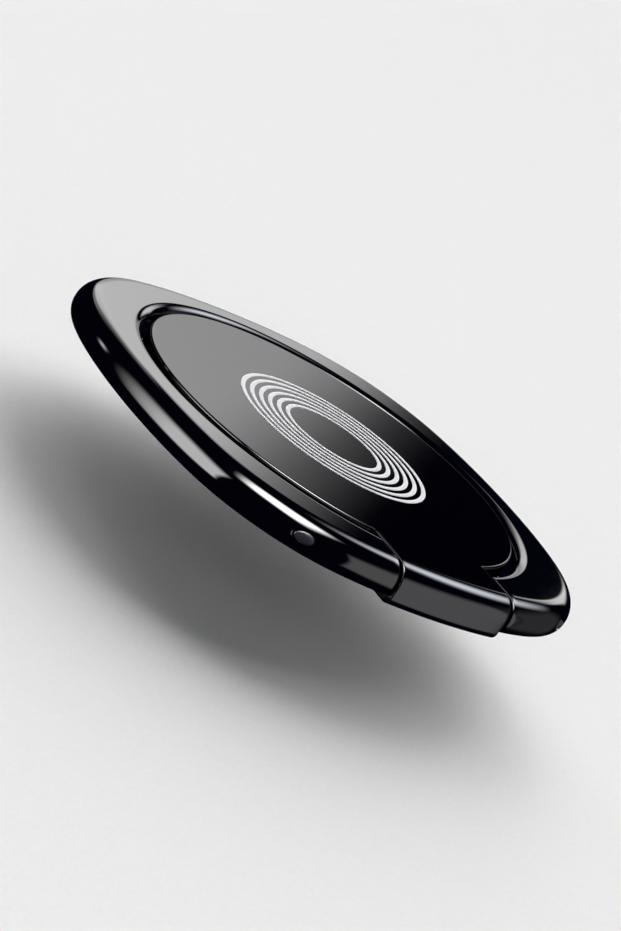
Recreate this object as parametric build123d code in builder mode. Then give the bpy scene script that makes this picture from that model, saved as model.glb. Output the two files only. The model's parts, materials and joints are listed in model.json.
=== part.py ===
"""Phone ring holder: a rounded-square finger ring, hinged on a round face plate that swivels on its base.

Millimetres. Z = 0 is the face that is stuck to the phone, +Z points away from the phone, and the origin
is on the swivel axis. The hinge lies towards -Y and its pin runs along X.
"""
import os
from math import atan2, degrees, sqrt

from build123d import *

os.makedirs("parts", exist_ok=True)

# Stack on the phone, from the stuck face up
adhesive_thickness = 0.6
base_roof = 0.75
glide_clearance = 0.03
glide_thickness = 0.2
face_thickness = 1.62

# Face plate: a shallow cup whose skirt hides the base plate
face_diameter = 28.4
face_edge_bevel = 0.15
face_skin = 0.62
skirt_wall = 1.9
knuckle_width = 9.9
knuckle_depth = 2.85
knuckle_under_round = 0.6

# Ring: side arcs and corner arcs make a rounded square around a round opening
swing_gap = 0.45
band_width = 3.35
side_radius = 36.6
corner_radius = 12.2
ring_thickness = 2.5
rim_top_round = 1.4
rim_under_bevel = 0.8
opening_bevel = 0.85
opening_under_bevel = 0.5

# Hinge
pin_diameter = 0.8
pin_inset = 2.65
pin_end_recess = 0.05
pin_chamfer = 0.08
pin_clearance = 0.02
sleeve_wall = 0.23
sleeve_slit = 0.15
sleeve_end_inset = 0.2
hinge_gap = 0.3
washer_diameter = 1.9
washer_clearance = 0.03
relief_clearance = 0.12

# Swivel
base_clearance = 0.3
base_chamfer = 0.2
pad_inset = 0.4
rivet_diameter = 3.0
rivet_clearance = 0.05
rivet_head_overhang = 1.7
rivet_head_thickness = 0.45
rivet_head_clearance = 0.13
spring_overhang = 0.5
spring_thickness = 0.2
spring_rise = 0.2
swivel_clearance = 0.02
pocket_clearance = 0.4
glide_inset = 1.0
washer_bore_clearance = 0.3

# Heights
base_bottom = adhesive_thickness
rivet_head_bottom = base_bottom + rivet_head_clearance
rivet_head_top = rivet_head_bottom + rivet_head_thickness
spring_top = rivet_head_top + spring_rise + spring_thickness
pocket_ceiling = spring_top + swivel_clearance
base_top = pocket_ceiling + base_roof
glide_bottom = base_top + glide_clearance
face_ceiling = glide_bottom + glide_thickness
top = face_ceiling + face_thickness
rivet_end = top - face_skin
ring_bottom = top - ring_thickness
knuckle_bottom = top - knuckle_depth
pin_height = top - ring_thickness / 2

# Radii and places in plan
face_radius = face_diameter / 2
skirt_radius = face_radius - skirt_wall
opening_radius = face_radius + swing_gap
half_flats = opening_radius + band_width
pin_offset = half_flats - pin_inset
pin_radius = pin_diameter / 2
sleeve_bore_radius = pin_radius + pin_clearance
sleeve_radius = sleeve_bore_radius + sleeve_wall
base_radius = skirt_radius - base_clearance
pad_radius = base_radius - pad_inset
glide_radius = base_radius - glide_inset
rivet_radius = rivet_diameter / 2
rivet_head_radius = rivet_radius + rivet_head_overhang
spring_radius = rivet_head_radius + spring_overhang
pocket_radius = spring_radius + pocket_clearance
swivel_washer_bore = rivet_radius + washer_bore_clearance
knuckle_half = knuckle_width / 2
knuckle_root = sqrt((face_radius - face_edge_bevel) ** 2 - knuckle_half ** 2)
slot_half = knuckle_half + hinge_gap
sleeve_half = knuckle_half - sleeve_end_inset

# The corner arcs' centres lie on the diagonals, where each corner arc is tangent to its two side arcs
side_shift = side_radius - half_flats
corner_shift = (sqrt(2 * (side_radius - corner_radius) ** 2 - side_shift ** 2) - side_shift) / 2
side_half_angle = degrees(atan2(corner_shift, corner_shift + side_shift))
corner_angle = 90 - 2 * side_half_angle

# Rounds and bevels are held within the thickness of the ring and the knuckle
upper_share = 0.57
lower_share = 0.4
ring_round = min(rim_top_round, upper_share * ring_thickness)
ring_under_bevel = min(rim_under_bevel, lower_share * ring_thickness)
knuckle_round = min(ring_round, upper_share * knuckle_depth)
knuckle_low_round = min(knuckle_under_round, lower_share * knuckle_depth)

hinge_line = Plane(origin=(0, -pin_offset, pin_height), x_dir=(0, 1, 0), z_dir=(1, 0, 0))


def rounded_square():
    """Four side arcs and four corner arcs, each tangent to the next."""
    for turn in range(0, 360, 90):
        side_centre = Vector(-side_shift, 0).rotate(Axis.Z, turn)
        corner_centre = Vector(corner_shift, corner_shift).rotate(Axis.Z, turn)
        CenterArc(side_centre, side_radius, turn - side_half_angle, 2 * side_half_angle)
        CenterArc(corner_centre, corner_radius, turn + side_half_angle, corner_angle)


def rim_reach(across):
    """How far the rounded square reaches from the centre line, at a distance across it."""
    side_end = side_radius * corner_shift / sqrt(corner_shift ** 2 + (corner_shift + side_shift) ** 2)
    if across <= side_end:
        return sqrt(side_radius ** 2 - across ** 2) - side_shift
    return corner_shift + sqrt(corner_radius ** 2 - (across - corner_shift) ** 2)


pin_half_length = rim_reach(pin_offset + pin_radius) - pin_end_recess
relief_radius = rim_reach(slot_half) - pin_offset + relief_clearance


# Finger ring
with BuildPart() as ring:
    with BuildSketch(Plane.XY.offset(ring_bottom)):
        with BuildLine():
            rounded_square()
        make_face()
    extrude(amount=ring_thickness)
    fillet(ring.edges().group_by(Axis.Z)[-1], ring_round)
    chamfer(ring.edges().group_by(Axis.Z)[0], ring_under_bevel)
    with BuildSketch(Plane.XZ):
        with BuildLine():
            Polyline(
                (0, ring_bottom),
                (opening_radius + opening_under_bevel, ring_bottom),
                (opening_radius, ring_bottom + opening_under_bevel),
                (opening_radius, top - opening_bevel),
                (opening_radius + opening_bevel, top),
                (0, top),
                close=True,
            )
        make_face()
    revolve(axis=Axis.Z, mode=Mode.SUBTRACT)
    with BuildSketch(Plane.XY.offset(ring_bottom)):
        with Locations((0, -half_flats)):
            Rectangle(2 * slot_half, 2 * half_flats - face_radius)
    extrude(amount=ring_thickness, mode=Mode.SUBTRACT)
    with BuildSketch(hinge_line):
        Circle(pin_radius)
    extrude(amount=half_flats, both=True, mode=Mode.SUBTRACT)
ring.part.label = "ring"
export_step(ring.part, "parts/ring.step")

# Face plate with its hinge knuckle, in one piece
with BuildPart() as face_plate:
    with BuildSketch(Plane.XY.offset(knuckle_bottom)):
        with BuildLine():
            rounded_square()
        make_face()
    extrude(amount=knuckle_depth)
    fillet(face_plate.edges().group_by(Axis.Z)[-1], knuckle_round)
    fillet(face_plate.edges().group_by(Axis.Z)[0], knuckle_low_round)
    with BuildSketch(Plane.XY.offset(knuckle_bottom)):
        with Locations((0, -knuckle_root)):
            Rectangle(knuckle_width, half_flats, align=(Align.CENTER, Align.MAX))
    extrude(amount=knuckle_depth, mode=Mode.INTERSECT)
    with BuildSketch(Plane.XZ) as disc_section:
        with BuildLine():
            Polyline(
                (0, knuckle_bottom),
                (face_radius, knuckle_bottom),
                (face_radius, top),
                (0, top),
                close=True,
            )
        make_face()
        chamfer(disc_section.vertices().group_by(Axis.X)[-1].sort_by(Axis.Y)[-1], face_edge_bevel)
    revolve(axis=Axis.Z)
    for side in (-1, 1):
        with BuildSketch(hinge_line.offset(side * knuckle_half)):
            Circle(relief_radius)
        extrude(amount=side * face_radius, mode=Mode.SUBTRACT)
    with BuildSketch(hinge_line):
        Circle(sleeve_radius)
    extrude(amount=knuckle_half, both=True, mode=Mode.SUBTRACT)
    with BuildSketch(Plane.XY.offset(face_ceiling)):
        Circle(skirt_radius)
    extrude(amount=knuckle_bottom - face_ceiling, mode=Mode.SUBTRACT)
    with BuildSketch(Plane.XY.offset(face_ceiling)):
        Circle(rivet_radius)
    extrude(amount=rivet_end - face_ceiling, mode=Mode.SUBTRACT)
face_plate.part.label = "face_plate"
export_step(face_plate.part, "parts/face_plate.step")

# Hinge pin, pressed into both ends of the ring
with BuildPart() as hinge_pin:
    with BuildSketch(hinge_line):
        Circle(pin_radius)
    extrude(amount=pin_half_length, both=True)
    chamfer(hinge_pin.edges().filter_by(GeomType.CIRCLE), pin_chamfer)
hinge_pin.part.label = "hinge_pin"
export_step(hinge_pin.part, "parts/hinge_pin.step")

# Split spring sleeve in the knuckle, its slit towards the phone
with BuildPart() as friction_sleeve:
    with BuildSketch(hinge_line):
        Circle(sleeve_radius)
        Circle(sleeve_bore_radius, mode=Mode.SUBTRACT)
        Rectangle(sleeve_slit, sleeve_radius, align=(Align.CENTER, Align.MAX), mode=Mode.SUBTRACT)
    extrude(amount=sleeve_half, both=True)
friction_sleeve.part.label = "friction_sleeve"
export_step(friction_sleeve.part, "parts/friction_sleeve.step")

# Thin washers between the knuckle and the ring's ends
for name, side in (("hinge_washer_left", -1), ("hinge_washer_right", 1)):
    with BuildPart() as hinge_washer:
        with BuildSketch(hinge_line.offset(side * slot_half)):
            Circle(washer_diameter / 2)
            Circle(sleeve_bore_radius, mode=Mode.SUBTRACT)
        extrude(amount=side * (washer_clearance - hinge_gap))
    hinge_washer.part.label = name
    export_step(hinge_washer.part, f"parts/{name}.step")

# Base plate, with a pocket under it for the rivet's head
with BuildPart() as base_plate:
    with BuildSketch(Plane.XZ) as base_section:
        with BuildLine():
            Polyline(
                (rivet_radius + rivet_clearance, pocket_ceiling),
                (rivet_radius + rivet_clearance, base_top),
                (base_radius, base_top),
                (base_radius, base_bottom),
                (pocket_radius, base_bottom),
                (pocket_radius, pocket_ceiling),
                close=True,
            )
        make_face()
        chamfer(base_section.vertices().group_by(Axis.X)[-1].sort_by(Axis.Y)[0], base_chamfer)
    revolve(axis=Axis.Z)
base_plate.part.label = "base_plate"
export_step(base_plate.part, "parts/base_plate.step")

# Swivel rivet, pressed into the face plate from below
with BuildPart() as swivel_rivet:
    with BuildSketch(Plane.XY.offset(rivet_head_bottom)):
        Circle(rivet_head_radius)
    extrude(amount=rivet_head_thickness)
    with BuildSketch(Plane.XY.offset(rivet_head_top)):
        Circle(rivet_radius)
    extrude(amount=rivet_end - rivet_head_top)
swivel_rivet.part.label = "swivel_rivet"
export_step(swivel_rivet.part, "parts/swivel_rivet.step")

# Dished spring washer over the rivet's head
with BuildPart() as spring_washer:
    with BuildSketch(Plane.XZ):
        with BuildLine():
            Polyline(
                (swivel_washer_bore, rivet_head_top),
                (spring_radius, rivet_head_top + spring_rise),
                (spring_radius, spring_top),
                (swivel_washer_bore, rivet_head_top + spring_thickness),
                close=True,
            )
        make_face()
    revolve(axis=Axis.Z)
spring_washer.part.label = "spring_washer"
export_step(spring_washer.part, "parts/spring_washer.step")

# Slip washer between the base plate and the face plate
with BuildPart() as glide_washer:
    with BuildSketch(Plane.XY.offset(glide_bottom)):
        Circle(glide_radius)
        Circle(swivel_washer_bore, mode=Mode.SUBTRACT)
    extrude(amount=glide_thickness)
glide_washer.part.label = "glide_washer"
export_step(glide_washer.part, "parts/glide_washer.step")

# Double-sided pad under the base plate
with BuildPart() as adhesive_pad:
    with BuildSketch(Plane.XY):
        Circle(pad_radius)
    extrude(amount=adhesive_thickness)
adhesive_pad.part.label = "adhesive_pad"
export_step(adhesive_pad.part, "parts/adhesive_pad.step")
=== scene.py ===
import json
from math import cos, pi, radians, sin, sqrt

import bmesh
import bpy
import numpy as np
from bpy.props import FloatProperty, IntProperty, PointerProperty, StringProperty
from bpy.types import Operator, Panel, PropertyGroup
from mathutils import Matrix, Vector


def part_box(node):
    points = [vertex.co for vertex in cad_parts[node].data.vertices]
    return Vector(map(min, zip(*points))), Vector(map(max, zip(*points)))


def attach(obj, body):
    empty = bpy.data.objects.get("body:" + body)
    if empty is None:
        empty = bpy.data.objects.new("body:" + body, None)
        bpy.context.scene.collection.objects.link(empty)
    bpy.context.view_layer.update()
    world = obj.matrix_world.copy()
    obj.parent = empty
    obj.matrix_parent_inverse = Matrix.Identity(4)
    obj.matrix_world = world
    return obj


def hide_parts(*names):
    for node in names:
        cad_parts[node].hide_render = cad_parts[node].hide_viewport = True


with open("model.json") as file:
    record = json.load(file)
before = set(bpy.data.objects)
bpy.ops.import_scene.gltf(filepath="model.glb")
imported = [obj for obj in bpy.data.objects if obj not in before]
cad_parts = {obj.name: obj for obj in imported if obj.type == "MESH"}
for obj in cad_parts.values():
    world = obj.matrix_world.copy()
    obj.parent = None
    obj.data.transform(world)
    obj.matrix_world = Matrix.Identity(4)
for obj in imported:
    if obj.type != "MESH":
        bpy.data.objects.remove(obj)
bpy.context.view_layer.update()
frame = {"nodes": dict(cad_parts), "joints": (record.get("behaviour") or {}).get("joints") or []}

bl_info = {
    "name": "Phone ring holder",
    "version": (1, 0, 0),
    "blender": (4, 5, 0),
    "location": "View3D > Sidebar > Ring holder",
    "description": "Polished and plated surfaces for a phone ring holder, with its studio",
    "category": "Object",
}

MM = 0.001
RING_LOW, RING_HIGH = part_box("ring")
FACE_LOW, FACE_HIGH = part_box("face_plate")
PIN_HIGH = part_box("hinge_pin")[1]
WASHER_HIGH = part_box("hinge_washer_right")[1]
RIVET_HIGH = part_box("swivel_rivet")[1]
GLIDE_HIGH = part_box("glide_washer")[1]
HINGE = Vector(next(j["pos_m"] for j in frame["joints"] if j["name"] == "ring_hinge"))
TOP = RING_HIGH.z

# How finely shapes are divided: a quarter round, a small edge, a turn of the ring or disc, of the pin, of a
# printed ring, and the floor.
ROUND_STEPS = 23
EDGE_STEPS = 6
SWEEP_STEPS = 421
PIN_STEPS = 64
PRINT_STEPS = 256
FLOOR_STEPS = 81
# The flat row beside each round keeps its shading true. Edges that bend more than SHARP are shaded sharp.
MARGIN = 0.05 * MM
SHARP = radians(35)
# The rounded square's arcs are averaged over this much to each side, in so many steps.
EASE = radians(7)
EASE_STEPS = 13
HALVINGS = 40
# Tool marks in bare steel and grain in a coat are darker than the rest by these factors.
MARK_TONE = 0.72
GRAIN_TONE = 0.92


def length(name, description, default):
    """A length in metres that a user can change."""
    return FloatProperty(name=name, description=description, default=default, precision=5, unit="LENGTH")


def angle(name, description, default):
    """An angle, written here in degrees, that a user can change."""
    return FloatProperty(name=name, description=description, default=radians(default), subtype="ANGLE")


def strength(name, description, default):
    """A plain number that a user can change."""
    return FloatProperty(name=name, description=description, default=default)


def hex_colour(name, description, default):
    """An sRGB hex colour that a user can change."""
    return StringProperty(name=name, description=description, default=default, maxlen=7)


class RingSizes(PropertyGroup):
    """Sizes of the finger ring."""
    half_flats: length("Half across flats", "Centre to the middle of a side", RING_HIGH.x)
    side_radius: length("Side radius", "Radius of the four side arcs", 36.6 * MM)
    corner_radius: length("Corner radius", "Radius of the four corner arcs", 12.2 * MM)
    opening_radius: length("Opening radius", "Radius of the round opening", 14.65 * MM)
    rim_round: length("Rim round", "Round of the rim's upper edge", 1.4 * MM)
    under_round: length("Under round", "Round of the rim's lower edge", 1.0 * MM)
    mouth_round: length("Mouth round", "Round of the opening's upper edge", 0.85 * MM)
    mouth_under_round: length("Mouth under round", "Round of the opening's lower edge", 0.2 * MM)
    end_round: length("End round", "Round of the edges beside the hinge", 0.1 * MM)


class FaceSizes(PropertyGroup):
    """Sizes of the face plate and its hinge knuckle."""
    radius: length("Radius", "Radius of the round plate", FACE_HIGH.x)
    edge_round: length("Edge round", "Round of the plate's upper edge", 0.15 * MM)
    knuckle_half: length("Half knuckle", "Half the knuckle's width", 4.95 * MM)
    knuckle_under_round: length("Knuckle under round", "Round of the knuckle's lower edge", 0.6 * MM)
    knuckle_edge: length("Knuckle edge", "Round of the knuckle's other edges", 0.1 * MM)
    relief_radius: length("Relief radius", "Clear space round the pin beside the knuckle", 2.37 * MM)
    skirt_radius: length("Skirt radius", "Radius inside the skirt", 12.3 * MM)
    rivet_radius: length("Rivet radius", "Radius of the hole for the rivet's shank", 1.5 * MM)


class PrintSizes(PropertyGroup):
    """Sizes of the printed rings."""
    lines: IntProperty(name="Lines", description="Number of printed rings", default=6)
    inner_radius: length("Inner radius", "Middle of the smallest ring", 3.6 * MM)
    outer_radius: length("Outer radius", "Middle of the largest ring", 7.1 * MM)
    line_width: length("Line width", "Width of each ring", 0.34 * MM)
    ink_height: length("Ink height", "How far the ink stands up", 0.02 * MM)


class PinSizes(PropertyGroup):
    """Sizes of the hinge pin and its holes."""
    hole_clearance: length("Hole clearance", "Gap round the pin where it enters the rim", 0.05 * MM)
    end_round: length("End round", "Round of the pin's ends", 0.15 * MM)
    end_depth: length("End depth", "How far the pin's ends lie below the rim", 0.06 * MM)


class PlatingColours(PropertyGroup):
    """Colours of the plated and printed surfaces."""
    ring: hex_colour("Ring", "What the ring's plating reflects", "#616161")
    face: hex_colour("Face", "What the face plate's plating reflects", "#616162")
    ink: hex_colour("Ink", "Printed rings", "#DADADC")
    ring_edge: strength("Ring edge", "Share of glancing reflection that the ring keeps", 0.59)
    face_edge: strength("Face edge", "Share of glancing reflection that the face keeps", 0.44)


class InnerColours(PropertyGroup):
    """Colours of the hinge and swivel pieces."""
    pin: hex_colour("Pin", "Ground steel", "#83848A")
    spring: hex_colour("Springs", "Tempered spring steel", "#77716A")
    # The washers' dark colour is painted shade for the gaps beside the knuckle.
    washer: hex_colour("Washers", "Stamped and darkened_as_gap_shade steel", "#3C3D40")
    rivet: hex_colour("Rivet", "Turned steel", "#A7A8AA")
    coating: hex_colour("Base coating", "Satin black coating", "#1B1B1D")
    glide: hex_colour("Glide washer", "Natural acetal", "#E4E2DA")
    foam: hex_colour("Pad", "Acrylic foam", "#2F3033")


class Studio(PropertyGroup):
    """Floor, light and camera."""
    floor: hex_colour("Floor", "Matt floor", "#F4F4F4")
    floor_drop: length("Floor drop", "How far the floor lies below the holder", 2.5 * MM)
    floor_reach: length("Floor reach", "Half the floor's width", 2)
    floor_level: length("Level part", "Radius of the floor's level part", 1.2)
    room: hex_colour("Room", "Dim blue-black room that the plating mirrors", "#0F0F26")
    back_left: strength("Back left", "Strength of the soft light behind the holder on the left", 2.0)
    back_middle: strength("Back middle", "Strength of the soft light straight behind the holder", 5.2)
    back_right: strength("Back right", "Strength of the soft light behind the holder on the right", 3.2)
    back_turn: angle("Back turn", "How far the lights on the left and right stand from the middle", 20)
    back_spread: angle("Back spread", "How wide each light behind the holder is", 28)
    back_lean: angle("Back lean", "How far the lights behind the holder are from overhead", 75)
    fill_strength: strength("Fill strength", "Strength of the wide light overhead", 0.2)
    fill_spread: angle("Fill spread", "How wide the overhead light is", 160)
    card_distance: length("Card distance", "How far the cards stand from the holder", 5)
    azimuth: angle("Azimuth", "Camera's turn round the swivel axis", -43.155)
    elevation: angle("Elevation", "Camera's height above the face", 15.328)
    roll: angle("Roll", "Camera's lean", -33.724)
    aim_x: length("Aim X", "Point that the camera aims at", -0.616 * MM)
    aim_y: length("Aim Y", "Point that the camera aims at", -0.287 * MM)
    aim_z: length("Aim Z", "Point that the camera aims at", 1.897 * MM)
    distance: length("Distance", "Camera to the point it aims at", 232.58 * MM)
    lens: strength("Lens", "Focal length in millimetres", 135.34)


def rounded_square(theta, inset, size):
    """Point of the rounded square whose tangent line has its normal at the angle theta.

    A tangent line of a side arc lies r - s cos q from the centre, and one of a corner arc c (cos q + sin q)
    + k, where q is the angle from the middle of the side. Both are averaged over a few degrees, which
    eases the bend from arc to arc. The point is (h - inset) along the normal plus h' along the tangent.
    """
    shift = size.side_radius - size.half_flats
    corner = (sqrt(2 * (size.side_radius - size.corner_radius) ** 2 - shift ** 2) - shift) / 2
    eased = theta[..., None] + EASE * np.linspace(-1, 1, EASE_STEPS)
    turn = (eased + pi / 4) % (pi / 2) - pi / 4
    q = np.abs(turn)
    on_side = np.tan(q) < corner / (corner + shift)
    side_h, side_slope = size.side_radius - shift * np.cos(q), shift * np.sin(q)
    corner_h = size.corner_radius + corner * (np.cos(q) + np.sin(q))
    corner_slope = corner * (np.cos(q) - np.sin(q))
    h = np.where(on_side, side_h, corner_h).mean(-1) - inset
    slope = (np.sign(turn) * np.where(on_side, side_slope, corner_slope)).mean(-1)
    return h * np.cos(theta) - slope * np.sin(theta), h * np.sin(theta) + slope * np.cos(theta)


def rim_angle(across, inset, size):
    """Angle of the rounded square's normal where its -Y side passes x = across, found by halving."""
    low = np.full(np.broadcast(across, inset).shape, -pi / 2)
    high = low + pi / 2
    for _ in range(HALVINGS):
        middle = (low + high) / 2
        beyond = rounded_square(middle, inset, size)[0] > across
        high = np.where(beyond, middle, high)
        low = np.where(beyond, low, middle)
    return low


def surface(name, grids):
    """One mesh from grids of points, rows by columns by xyz.

    Each column runs round and closes on itself. The first and last rows are filled, or joined to each
    other where the grid is marked as a hoop.
    """
    points, faces, start = [], [], 0
    for grid, hoop in grids:
        rows, columns = grid.shape[:2]
        index = start + np.arange(rows * columns).reshape(rows, columns)
        near = index if hoop else index[:-1]
        far = np.roll(index, -1, axis=0) if hoop else index[1:]
        corners = np.stack([near, np.roll(near, -1, 1), np.roll(far, -1, 1), far], axis=-1)
        faces += corners.reshape(-1, 4).tolist()
        if not hoop:
            faces += [index[0, ::-1].tolist(), index[-1].tolist()]
        points.append(grid.reshape(-1, 3))
        start += rows * columns
    mesh = bpy.data.meshes.new(name)
    mesh.from_pydata(np.concatenate(points).tolist(), [], faces)
    shell = bmesh.new()
    shell.from_mesh(mesh)
    bmesh.ops.recalc_face_normals(shell, faces=shell.faces)
    shell.to_mesh(mesh)
    shell.free()
    mesh.shade_smooth()
    mesh.set_sharp_from_angle(angle=SHARP)
    piece = bpy.data.objects.new(name, mesh)
    bpy.context.scene.collection.objects.link(piece)
    return piece


def turned(profile, centre, axis, steps):
    """Surface of revolution: each profile point (radius, along) swept round the axis through the centre."""
    along_axis = Vector(axis)
    side = along_axis.orthogonal().normalized()
    other = along_axis.cross(side)
    angle = np.linspace(0, 2 * pi, steps, endpoint=False)
    circle = np.outer(np.cos(angle), side) + np.outer(np.sin(angle), other)
    radius, along = np.asarray(profile, float).T
    return np.array(centre) + radius[:, None, None] * circle + along[:, None, None] * np.array(along_axis)


def finger_ring_grid(size):
    """The ring's closed section, carried round from one side of the hinge to the other.

    Rim levels follow the rounded square at their inset, mouth levels follow circles, and each level
    starts and ends where it meets the plane of the ring's end face. The last rows shrink the section to
    round the end's edges.
    """
    quarter = np.linspace(0, pi / 2, ROUND_STEPS)
    rise, fall, flat = np.sin(quarter), 1 - np.sin(quarter), np.zeros(1)
    run, lag = np.cos(quarter), 1 - np.cos(quarter)
    bottom = RING_LOW.z
    inset = np.concatenate([
        [size.rim_round + MARGIN], size.rim_round * fall,
        size.under_round * lag, [size.under_round + MARGIN],
    ])
    rim_z = np.concatenate([
        [TOP], TOP - size.rim_round * lag,
        bottom + size.under_round * fall, [bottom],
    ])
    radius = size.opening_radius + np.concatenate([
        [size.mouth_under_round + MARGIN], size.mouth_under_round * fall,
        size.mouth_round * lag, [size.mouth_round + MARGIN],
    ])
    mouth_z = np.concatenate([
        [bottom], bottom + size.mouth_under_round * lag,
        TOP - size.mouth_round * fall, [TOP],
    ])
    z = np.concatenate([rim_z, mouth_z])
    outward = np.concatenate([flat, rise, run, flat, flat, -rise, -run, flat])
    upward = np.concatenate([flat + 1, run, -rise, flat - 1, flat - 1, -run, rise, flat + 1])

    bend = np.linspace(pi / 2, 0, EDGE_STEPS)[:, None]
    across = WASHER_HIGH.x + size.end_round * (1 - np.sin(bend))
    sink = size.end_round * (1 - np.cos(bend))
    start = np.hstack([rim_angle(across, inset, size), -np.arccos(across / radius)])
    share = np.linspace(0, 1, SWEEP_STEPS)[1:-1, None]
    theta = np.vstack([start, start[-1] + share * (pi - 2 * start[-1]), pi - start[::-1]])
    sink = np.vstack([sink, 0 * share, sink[::-1]])

    rim_theta, mouth_theta = theta[:, :inset.size], theta[:, inset.size:]
    rim_x, rim_y = rounded_square(rim_theta, inset, size)
    x = np.hstack([rim_x, radius * np.cos(mouth_theta)])
    y = np.hstack([rim_y, radius * np.sin(mouth_theta)])
    lean_y = outward * np.sin(theta)
    lean = np.hypot(lean_y, upward)
    return np.stack([x, y - sink * lean_y / lean, z - sink * upward / lean], axis=-1)


def edge_inset(depth, radius):
    """How far in a rounded edge lies, at a depth from its flat: r - sqrt(r^2 - (r - depth)^2)."""
    left = np.clip(radius - depth, 0, radius)
    return radius - np.sqrt(radius ** 2 - left ** 2)


def face_plate_grid(size, ring):
    """The plate as a stack of level outlines, closed below by the hollow that takes the base.

    Each outline is the disc and the knuckle in one: a rounded corner, the knuckle's side, the disc's arc
    held clear of the ring's ends, the other side and corner, and the front along the rounded square.
    """
    quarter = np.linspace(0, pi / 2, ROUND_STEPS)
    rise, lag = np.sin(quarter), 1 - np.cos(quarter)
    low = FACE_LOW.z
    under = size.knuckle_under_round
    z = np.concatenate([[TOP], TOP - ring.rim_round * lag, low + under * (1 - rise), [low]])[:, None]
    front = np.concatenate([
        [ring.rim_round + MARGIN], ring.rim_round * (1 - rise), under * lag, [under + MARGIN],
    ])[:, None]
    shrink = np.zeros_like(z)
    shrink[[0, -1]] = MARGIN
    half = size.knuckle_half - shrink - edge_inset(TOP - z, size.knuckle_edge)
    half = half - edge_inset(z - low, size.knuckle_edge)
    disc = size.radius - shrink - edge_inset(TOP - z, size.edge_round)
    disc = disc - edge_inset(z - low, size.knuckle_edge)
    clear = HINGE.y + np.sqrt(np.clip(size.relief_radius ** 2 - (z - HINGE.z) ** 2, 0, None))

    corner = size.knuckle_edge
    front_end = rim_angle(half - corner, front + corner, ring)
    corner_x, corner_y = rounded_square(front_end, front + corner, ring)
    turn = front_end * np.linspace(1, 0, EDGE_STEPS)
    bend_x = corner_x + corner * np.cos(turn)
    bend_y = corner_y + corner * np.sin(turn)
    root = np.maximum(-np.sqrt(disc ** 2 - half ** 2), clear)
    side_y = corner_y + (root - corner_y) * np.linspace(0, 1, 12)[1:]
    side_x = half + 0 * side_y
    arc_start = -np.arccos(half / disc)
    arc = arc_start + (pi - 2 * arc_start) * np.linspace(0, 1, SWEEP_STEPS)[1:-1]
    arc_x = disc * np.cos(arc)
    arc_y = np.maximum(disc * np.sin(arc), clear)
    sweep = -pi / 2 + (front_end + pi / 2) * np.linspace(-1, 1, 61)[1:-1]
    front_x, front_y = rounded_square(sweep, front, ring)
    x = np.hstack([bend_x, side_x, arc_x, -side_x[:, ::-1], -bend_x[:, ::-1], front_x])
    y = np.hstack([bend_y, side_y, arc_y, side_y[:, ::-1], bend_y[:, ::-1], front_y])
    outlines = np.stack([x, y, z + 0 * x], axis=-1)

    round_angle = np.arctan2(y[-1], x[-1])
    hollow = np.array([
        (size.skirt_radius, low), (size.skirt_radius, GLIDE_HIGH.z),
        (size.rivet_radius, GLIDE_HIGH.z), (size.rivet_radius, RIVET_HIGH.z),
    ])
    rings = hollow[:, :1, None] * np.stack([np.cos(round_angle), np.sin(round_angle)], axis=-1)
    heights = np.broadcast_to(hollow[:, 1:, None], rings.shape[:2] + (1,))
    return np.concatenate([outlines, np.concatenate([rings, heights], axis=-1)])


def hinge_pin_grid(size, ring):
    """The pin as a bar whose two ends are ground along the rim.

    A point at some radius and angle about the hinge axis lies, at an end, where the rim passes the point's
    y at its height, less the end's depth and the round of its edge. The rounded square mirrors in its
    diagonals, so the rim's x at y is its depth at x = -y.
    """
    radius = PIN_HIGH.z - HINGE.z
    turn = np.linspace(0, 2 * pi, PIN_STEPS, endpoint=False)
    bend = np.linspace(0, pi / 2, 7)
    crown = np.linspace(0.02 * radius, radius - size.end_round, 6)[:-1]
    out = np.concatenate([crown, radius - size.end_round * (1 - np.sin(bend))])[:, None]
    drop = np.concatenate([0 * crown, size.end_round * (1 - np.cos(bend))])[:, None]
    y = HINGE.y + out * np.cos(turn)
    z = HINGE.z + out * np.sin(turn)
    inset = edge_inset(TOP - z, ring.rim_round) + edge_inset(z - RING_LOW.z, ring.under_round)
    depth = -rounded_square(rim_angle(-y, inset, ring), inset, ring)[1]
    end = np.stack([depth - size.end_depth - drop, y, z], axis=-1)
    return np.concatenate([end * (-1, 1, 1), end[::-1]])


def linear(colour):
    """Linear RGBA of an sRGB hex colour."""
    srgb = np.array([int(colour[i:i + 2], 16) for i in (1, 3, 5)]) / 255
    return (*np.where(srgb < 0.04045, srgb / 12.92, ((srgb + 0.055) / 1.055) ** 2.4), 1)


def add(tree, kind, sockets, **settings):
    """Adds a node, sets its options, and fills its sockets with values or links from other nodes."""
    made = tree.nodes.new(kind)
    for option, value in settings.items():
        setattr(made, option, value)
    for socket, value in sockets.items():
        if isinstance(value, bpy.types.NodeSocket):
            tree.links.new(value, made.inputs[socket])
        else:
            made.inputs[socket].default_value = value
    return made


def new_material(name):
    """A material with an empty node tree, and that tree."""
    material = bpy.data.materials.new(name)
    material.use_nodes = True
    material.node_tree.nodes.clear()
    return material, material.node_tree


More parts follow.
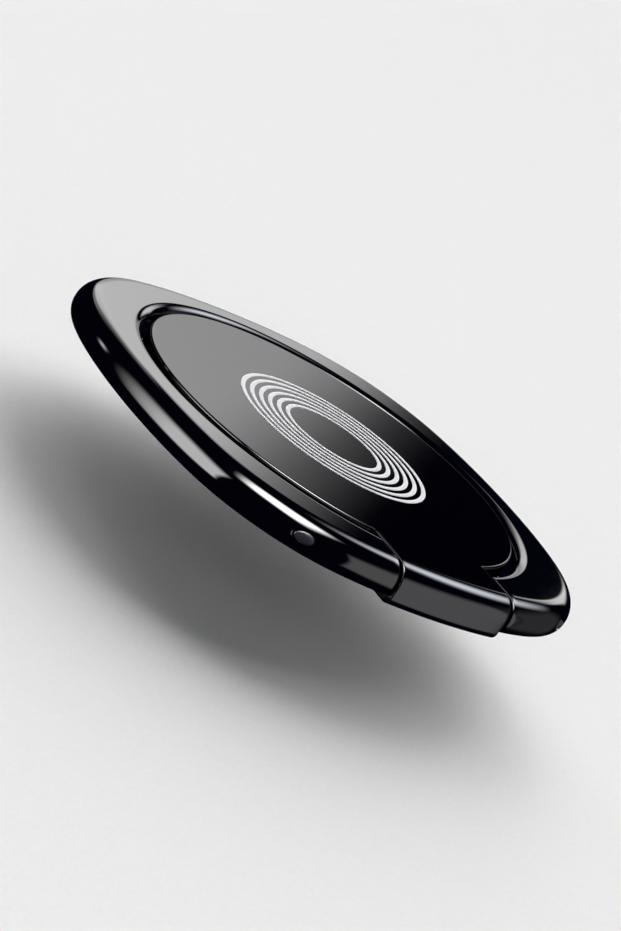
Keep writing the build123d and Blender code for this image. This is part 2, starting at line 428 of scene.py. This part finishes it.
def black_chrome(name, colour, edge_tint):
    """Black chrome, electroplated on buffed zinc.

    A dark mirror. The buffing wheel leaves a faint waviness a few millimetres long, which softens the
    edges of reflections, and patches where the polish is a little duller.
    """
    material, tree = new_material(name)
    place = add(tree, "ShaderNodeTexCoord", {}).outputs["Object"]
    waves = add(tree, "ShaderNodeTexNoise", {"Vector": place, "Scale": 1 / (2.5 * MM), "Detail": 2.0})
    patches = add(tree, "ShaderNodeTexNoise", {"Vector": place, "Scale": 1 / (0.9 * MM), "Detail": 4.0})
    polish = add(tree, "ShaderNodeMapRange", {
        "Value": patches.outputs["Fac"], "From Min": 0.3, "From Max": 0.7, "To Min": 0.025, "To Max": 0.06,
    })
    bump = add(tree, "ShaderNodeBump", {"Height": waves.outputs["Fac"], "Distance": 0.001 * MM})
    shader = add(tree, "ShaderNodeBsdfPrincipled", {
        "Base Color": linear(colour), "Metallic": 1.0,
        "Specular Tint": (edge_tint, edge_tint, edge_tint, 1),
        "Roughness": polish.outputs["Result"], "Normal": bump.outputs["Normal"],
    })
    add(tree, "ShaderNodeOutputMaterial", {"Surface": shader.outputs["BSDF"]})
    return material


def worked_steel(name, colour, mark_spacing, stretch, roughness):
    """Bare steel with tool marks: ground, stamped, turned or tempered.

    Grey metal whose marks, a set spacing apart and drawn out along one axis, streak the highlights.
    """
    material, tree = new_material(name)
    place = add(tree, "ShaderNodeTexCoord", {}).outputs["Object"]
    laid = add(tree, "ShaderNodeMapping", {"Vector": place, "Scale": stretch})
    marks = add(tree, "ShaderNodeTexNoise", {
        "Vector": laid.outputs["Vector"], "Scale": 1 / mark_spacing, "Detail": 3.0,
    })
    tone = add(tree, "ShaderNodeMix", {
        "Factor": marks.outputs["Fac"], "A": linear(colour),
        "B": tuple(MARK_TONE * part for part in linear(colour)),
    }, data_type="RGBA")
    dull = add(tree, "ShaderNodeMapRange", {
        "Value": marks.outputs["Fac"], "To Min": roughness - 0.08, "To Max": roughness + 0.1,
    })
    bump = add(tree, "ShaderNodeBump", {"Height": marks.outputs["Fac"], "Distance": 0.003 * MM})
    shader = add(tree, "ShaderNodeBsdfPrincipled", {
        "Base Color": tone.outputs["Result"], "Metallic": 1.0,
        "Roughness": dull.outputs["Result"], "Normal": bump.outputs["Normal"],
    })
    add(tree, "ShaderNodeOutputMaterial", {"Surface": shader.outputs["BSDF"]})
    return material


def skinned(name, colour, grain, depth, roughness, ior):
    """A coat, moulding, print or foam: one colour with a fine grain that breaks up its gloss."""
    material, tree = new_material(name)
    place = add(tree, "ShaderNodeTexCoord", {}).outputs["Object"]
    speck = add(tree, "ShaderNodeTexNoise", {"Vector": place, "Scale": 1 / grain, "Detail": 4.0})
    tone = add(tree, "ShaderNodeMix", {
        "Factor": speck.outputs["Fac"], "A": linear(colour),
        "B": tuple(GRAIN_TONE * part for part in linear(colour)),
    }, data_type="RGBA")
    dull = add(tree, "ShaderNodeMapRange", {
        "Value": speck.outputs["Fac"], "To Min": roughness - 0.07, "To Max": roughness + 0.07,
    })
    bump = add(tree, "ShaderNodeBump", {"Height": speck.outputs["Fac"], "Distance": depth})
    shader = add(tree, "ShaderNodeBsdfPrincipled", {
        "Base Color": tone.outputs["Result"], "IOR": ior,
        "Roughness": dull.outputs["Result"], "Normal": bump.outputs["Normal"],
    })
    add(tree, "ShaderNodeOutputMaterial", {"Surface": shader.outputs["BSDF"]})
    return material


def softbox_cloth(name, brightness, colour, fades):
    """Thin lit diffusion cloth that fades towards its left, right, lower and upper edge.

    Light from a card behind it shows through, so that overlapping cards add up.
    """
    material, tree = new_material(name)
    across = add(tree, "ShaderNodeTexCoord", {}).outputs["UV"]
    parts = add(tree, "ShaderNodeSeparateXYZ", {"Vector": across})
    level = brightness
    for axis, edge, share in zip("XXYY", (0, 1, 0, 1), fades):
        fade = add(tree, "ShaderNodeMapRange", {
            "Value": parts.outputs[axis], "From Min": edge, "From Max": abs(edge - share), "To Max": 1.0,
        }, interpolation_type="SMOOTHSTEP")
        product = add(tree, "ShaderNodeMath", {0: fade.outputs["Result"], 1: level}, operation="MULTIPLY")
        level = product.outputs["Value"]
    glow = add(tree, "ShaderNodeEmission", {"Color": linear(colour), "Strength": level})
    clear = add(tree, "ShaderNodeBsdfTransparent", {})
    both = add(tree, "ShaderNodeAddShader", {0: glow.outputs["Emission"], 1: clear.outputs["BSDF"]})
    add(tree, "ShaderNodeOutputMaterial", {"Surface": both.outputs["Shader"]})
    return material


def dress(piece, material):
    """Gives a piece its material."""
    piece.data.materials.clear()
    piece.data.materials.append(material)


class MakeFingerRing(Operator):
    """Make the finger ring with its bullnose rim and pin holes"""
    bl_idname = "ring_holder.finger_ring"
    bl_label = "Finger ring"

    def execute(self, context):
        holder = context.scene.ring_holder
        ring = surface("finger_ring", [(finger_ring_grid(holder.ring), False)])
        hole = PIN_HIGH.z - HINGE.z + holder.pin.hole_clearance
        reach = 2 * PIN_HIGH.x
        bore = turned([(hole, -reach), (hole, reach)], HINGE, (1, 0, 0), PIN_STEPS)
        drill = surface("drill", [(bore, False)])
        cut = ring.modifiers.new("pin holes", "BOOLEAN")
        cut.object = drill
        cut.operation = "DIFFERENCE"
        cut.solver = "EXACT"
        drilled = bpy.data.meshes.new_from_object(ring.evaluated_get(context.evaluated_depsgraph_get()))
        ring.modifiers.clear()
        ring.data = drilled
        bpy.data.objects.remove(drill)
        drilled.shade_smooth()
        drilled.set_sharp_from_angle(angle=SHARP)
        plating = holder.plating
        chrome = black_chrome("black chrome, plated ring", plating.ring, plating.ring_edge)
        dress(ring, chrome)
        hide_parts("ring")
        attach(ring, "finger_ring")
        return {"FINISHED"}


class MakeFacePlate(Operator):
    """Make the round face plate with its hinge knuckle"""
    bl_idname = "ring_holder.face_plate"
    bl_label = "Face plate"

    def execute(self, context):
        holder = context.scene.ring_holder
        plate = surface("face_plate_with_knuckle", [(face_plate_grid(holder.face, holder.ring), False)])
        plating = holder.plating
        chrome = black_chrome("black chrome, plated face", plating.face, plating.face_edge)
        dress(plate, chrome)
        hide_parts("face_plate")
        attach(plate, "turntable")
        return {"FINISHED"}


class MakePrintedRings(Operator):
    """Print fine rings of pale ink on the face"""
    bl_idname = "ring_holder.printed_rings"
    bl_label = "Printed rings"

    def execute(self, context):
        holder = context.scene.ring_holder
        size = holder.print
        half, rise = size.line_width / 2, size.ink_height
        bead = np.array([
            (-half, -rise), (-half, rise / 2), (rise - half, rise),
            (half - rise, rise), (half, rise / 2), (half, -rise),
        ])
        lines = [
            (turned(bead + (radius, 0), (0, 0, TOP), (0, 0, 1), PRINT_STEPS), True)
            for radius in np.linspace(size.inner_radius, size.outer_radius, size.lines)
        ]
        printed = surface("printed_rings", lines)
        # Dried enamel: half-matt and pale, with the fine grain that the screen leaves.
        ink = skinned(
            "enamel ink, screen printed", holder.plating.ink,
            grain=0.15 * MM, depth=0.002 * MM, roughness=0.45, ior=1.5,
        )
        dress(printed, ink)
        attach(printed, "turntable")
        return {"FINISHED"}


class MakeHinge(Operator):
    """Make the hinge pin, and finish the sleeve and washers on it"""
    bl_idname = "ring_holder.hinge"
    bl_label = "Hinge"

    def execute(self, context):
        holder = context.scene.ring_holder
        size, colours = holder.pin, holder.inner
        pin = surface("hinge_pin_ground", [(hinge_pin_grid(size, holder.ring), False)])
        # Ground along its length: a grey, softly blurred metal, so its ends show as dull spots in the rim.
        ground = worked_steel(
            "steel, ground pin", colours.pin, mark_spacing=0.1 * MM, stretch=(0.1, 1, 1), roughness=0.42,
        )
        dress(pin, ground)
        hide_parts("hinge_pin")
        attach(pin, "finger_ring")
        # Heat leaves tempered steel brownish and a little dull.
        spring = worked_steel(
            "spring steel, tempered", colours.spring,
            mark_spacing=0.15 * MM, stretch=(1, 1, 0.2), roughness=0.35,
        )
        dress(frame["nodes"]["friction_sleeve"], spring)
        # Painted shade: the washers' colour is darkened so that the gaps beside the knuckle look shaded.
        stamped = worked_steel(
            "steel, stamped washer", colours.washer,
            mark_spacing=0.12 * MM, stretch=(1, 0.3, 1), roughness=0.3,
        )
        for side in ("left", "right"):
            dress(frame["nodes"]["hinge_washer_" + side], stamped)
        return {"FINISHED"}


class MakeSwivel(Operator):
    """Finish the base plate, pad, rivet and washers of the swivel"""
    bl_idname = "ring_holder.swivel"
    bl_label = "Swivel"

    def execute(self, context):
        colours = context.scene.ring_holder.inner
        nodes = frame["nodes"]
        # A baked coat: black with a soft sheen, over a fine pebble.
        coating = skinned(
            "steel, satin black coating", colours.coating,
            grain=0.2 * MM, depth=0.004 * MM, roughness=0.42, ior=1.5,
        )
        # Cut foam: dark grey without gloss, its cells open at the edge.
        foam = skinned(
            "acrylic foam tape", colours.foam,
            grain=0.3 * MM, depth=0.03 * MM, roughness=0.85, ior=1.47,
        )
        # Punched sheet: milky white with a waxy sheen.
        acetal = skinned(
            "acetal sheet, punched", colours.glide,
            grain=0.25 * MM, depth=0.003 * MM, roughness=0.38, ior=1.48,
        )
        # Turned on a lathe: bright, with fine marks round it.
        turned_steel = worked_steel(
            "steel, turned rivet", colours.rivet,
            mark_spacing=0.12 * MM, stretch=(1, 1, 0.3), roughness=0.3,
        )
        # The same tempered steel as the sleeve, with the marks of the sheet that it was dished from.
        spring = worked_steel(
            "spring steel, dished washer", colours.spring,
            mark_spacing=0.15 * MM, stretch=(1, 0.3, 1), roughness=0.35,
        )
        dress(nodes["base_plate"], coating)
        dress(nodes["adhesive_pad"], foam)
        dress(nodes["glide_washer"], acetal)
        dress(nodes["swivel_rivet"], turned_steel)
        dress(nodes["spring_washer"], spring)
        return {"FINISHED"}


# Light cards as the holder sees them: azimuth, elevation and lean, width and height, all in degrees, then
# brightness, colour, and the share of the card that fades at its left, right, lower and upper edge.
# Azimuth 0 is straight ahead of the camera, beyond the holder, and positive to the right. A positive lean
# is anticlockwise.
CARDS = {
    "left_softbox": ((-109.5, 12, 0), (61, 60), 3.6, "#FFFFFF", (0.09, 0.48, 0.1, 0.35)),
    "overhead_softbox": ((178, 73, 20), (50, 43), 12, "#FFFFFF", (0.35, 0.35, 0.35, 0.35)),
    "far_strip": ((-10.5, 20.5, 16), (20, 28), 2.25, "#FFFFFF", (0.17, 0.17, 0.36, 0.36)),
    "tall_far_strip": ((-11.5, 16, 35), (18, 57), 1.2, "#FFFFFF", (0.11, 0.11, 0.3, 0.3)),
    "far_patch": ((13, 15.5, 13), (16, 21), 3.65, "#FFFFFF", (0.28, 0.28, 0.4, 0.4)),
    "high_patch": ((29, 43, -20), (37, 38), 5.7, "#F3F6FF", (0.5, 0.5, 0.45, 0.45)),
    "right_panel": ((101, -1, 0), (60, 74), 0.53, "#FFFFFF", (0.12, 0.08, 0.3, 0.27)),
    "side_panel": ((54, 0, 0), (44, 70), 0.18, "#FFFFFF", (0.3, 0.2, 0.3, 0.3)),
    "left_spark": ((-72.5, 7.5, -8), (7, 14), 3.1, "#FFFFFF", (0.5, 0.5, 0.5, 0.5)),
}


def sheet(name, points):
    """An open mesh from a grid of points, rows by columns by xyz, with its rows and columns as UV."""
    rows, columns = points.shape[:2]
    index = np.arange(rows * columns).reshape(rows, columns)
    corners = [index[:-1, :-1], index[:-1, 1:], index[1:, 1:], index[1:, :-1]]
    faces = np.stack(corners, axis=-1).reshape(-1, 4)
    mesh = bpy.data.meshes.new(name)
    mesh.from_pydata(points.reshape(-1, 3).tolist(), [], faces.tolist())
    u, v = np.meshgrid(np.linspace(0, 1, columns), np.linspace(0, 1, rows))
    uv = np.stack([u.ravel(), v.ravel()], axis=-1)[faces.ravel()]
    mesh.uv_layers.new(name="UVMap").data.foreach_set("uv", uv.ravel())
    mesh.shade_smooth()
    made = bpy.data.objects.new(name, mesh)
    bpy.context.scene.collection.objects.link(made)
    return made


def card_grid(place, size, studio):
    """A flat card that faces the holder: its centre plus a share of its half width and half height."""
    turn, height, lean = np.radians(place)
    turn = turn - studio.azimuth
    centre = np.array((sin(turn) * cos(height), cos(turn) * cos(height), sin(height)))
    level = np.array((cos(turn), -sin(turn), 0))
    upright = np.cross(level, centre)
    half_width, half_height = np.tan(np.radians(size) / 2)
    u, v = np.meshgrid(half_width * np.linspace(-1, 1, 3), half_height * np.linspace(-1, 1, 3))
    across = cos(lean) * level + sin(lean) * upright
    along = cos(lean) * upright - sin(lean) * level
    return studio.card_distance * (centre + u[..., None] * across + v[..., None] * along)


def floor_grid(studio):
    """A level floor that rises, beyond its level part, with half the square of the distance."""
    steps = np.linspace(-studio.floor_reach, studio.floor_reach, FLOOR_STEPS)
    x, y = np.meshgrid(steps, steps)
    outside = np.clip(np.hypot(x, y) - studio.floor_level, 0, None)
    return np.stack([x, y, outside ** 2 / 2 - studio.floor_drop], axis=-1)


class MakeStudio(Operator):
    """Set out the floor, the soft light, the light cards and the camera"""
    bl_idname = "ring_holder.studio"
    bl_label = "Studio"

    def execute(self, context):
        scene = context.scene
        studio = scene.ring_holder.studio
        floor = sheet("floor", floor_grid(studio))
        # Uncoated paper only scatters light, so it has no gloss. The plating doesn't mirror it, as with a
        # dark field round the object, which keeps the rim black. Its raised edge shades nothing.
        paper = skinned(
            "matt paper", studio.floor, grain=0.3 * MM, depth=0.001 * MM, roughness=0.9, ior=1.0,
        )
        floor.data.materials.append(paper)
        floor.visible_glossy = False
        floor.visible_shadow = False

        lamps = (
            ("back_left_light", studio.back_left, studio.back_spread, studio.back_lean, -studio.back_turn),
            ("back_light", studio.back_middle, studio.back_spread, studio.back_lean, 0),
            ("back_right_light", studio.back_right, studio.back_spread, studio.back_lean, studio.back_turn),
            ("fill_light", studio.fill_strength, studio.fill_spread, 0, 0),
        )
        for name, power, spread, lean, turn in lamps:
            lamp = bpy.data.objects.new(name, bpy.data.lights.new(name, "SUN"))
            lamp.data.energy = power
            lamp.data.angle = spread
            lamp.rotation_euler = (-lean, 0, studio.azimuth - turn)
            lamp.visible_glossy = False
            scene.collection.objects.link(lamp)
        for name, (place, size, brightness, colour, fades) in CARDS.items():
            card = sheet(name, card_grid(place, size, studio))
            card.data.materials.append(softbox_cloth(name + "_cloth", brightness, colour, fades))
            card.visible_camera = False
            card.visible_diffuse = False
            card.visible_shadow = False

        world = bpy.data.worlds.new("dim room")
        world.use_nodes = True
        world.node_tree.nodes["Background"].inputs["Color"].default_value = linear(studio.room)
        world.cycles_visibility.diffuse = False
        scene.world = world
        scene.view_settings.view_transform = "Standard"

        turn, height, lean = studio.azimuth, studio.elevation, studio.roll
        back = Vector((sin(turn) * cos(height), -cos(turn) * cos(height), sin(height)))
        level = Vector((cos(turn), sin(turn), 0))
        up = cos(lean) * back.cross(level) + sin(lean) * level
        axes = Matrix((up.cross(back), up, back)).transposed()
        camera = bpy.data.objects.new("camera", bpy.data.cameras.new("camera"))
        camera.data.lens = studio.lens
        camera.data.clip_start = 0.01
        camera.data.clip_end = 10
        aim = Vector((studio.aim_x, studio.aim_y, studio.aim_z))
        camera.matrix_world = Matrix.Translation(aim + studio.distance * back) @ axes.to_4x4()
        scene.collection.objects.link(camera)
        scene.camera = camera
        return {"FINISHED"}


class RingHolder(PropertyGroup):
    """Everything about the holder that a user can change."""
    ring: PointerProperty(name="Ring", type=RingSizes)
    face: PointerProperty(name="Face", type=FaceSizes)
    print: PointerProperty(name="Print", type=PrintSizes)
    pin: PointerProperty(name="Pin", type=PinSizes)
    plating: PointerProperty(name="Plating", type=PlatingColours)
    inner: PointerProperty(name="Inner pieces", type=InnerColours)
    studio: PointerProperty(name="Studio", type=Studio)


STEPS = (MakeFingerRing, MakeFacePlate, MakePrintedRings, MakeHinge, MakeSwivel, MakeStudio)


class RingHolderPanel(Panel):
    """List the steps that make the holder"""
    bl_idname = "VIEW3D_PT_ring_holder"
    bl_label = "Phone ring holder"
    bl_space_type = "VIEW_3D"
    bl_region_type = "UI"
    bl_category = "Ring holder"

    def draw(self, context):
        for step in STEPS:
            self.layout.operator(step.bl_idname)


GROUPS = (RingSizes, FaceSizes, PrintSizes, PinSizes, PlatingColours, InnerColours, Studio, RingHolder)
CLASSES = GROUPS + STEPS + (RingHolderPanel,)


def register():
    for kind in CLASSES:
        bpy.utils.register_class(kind)
    bpy.types.Scene.ring_holder = PointerProperty(name="Ring holder", type=RingHolder)


def unregister():
    del bpy.types.Scene.ring_holder
    for kind in reversed(CLASSES):
        bpy.utils.unregister_class(kind)


def main():
    """Makes every piece in order."""
    register()
    bpy.ops.ring_holder.finger_ring()
    bpy.ops.ring_holder.face_plate()
    bpy.ops.ring_holder.printed_rings()
    bpy.ops.ring_holder.hinge()
    bpy.ops.ring_holder.swivel()
    bpy.ops.ring_holder.studio()


if __name__ == "__main__":
    main()
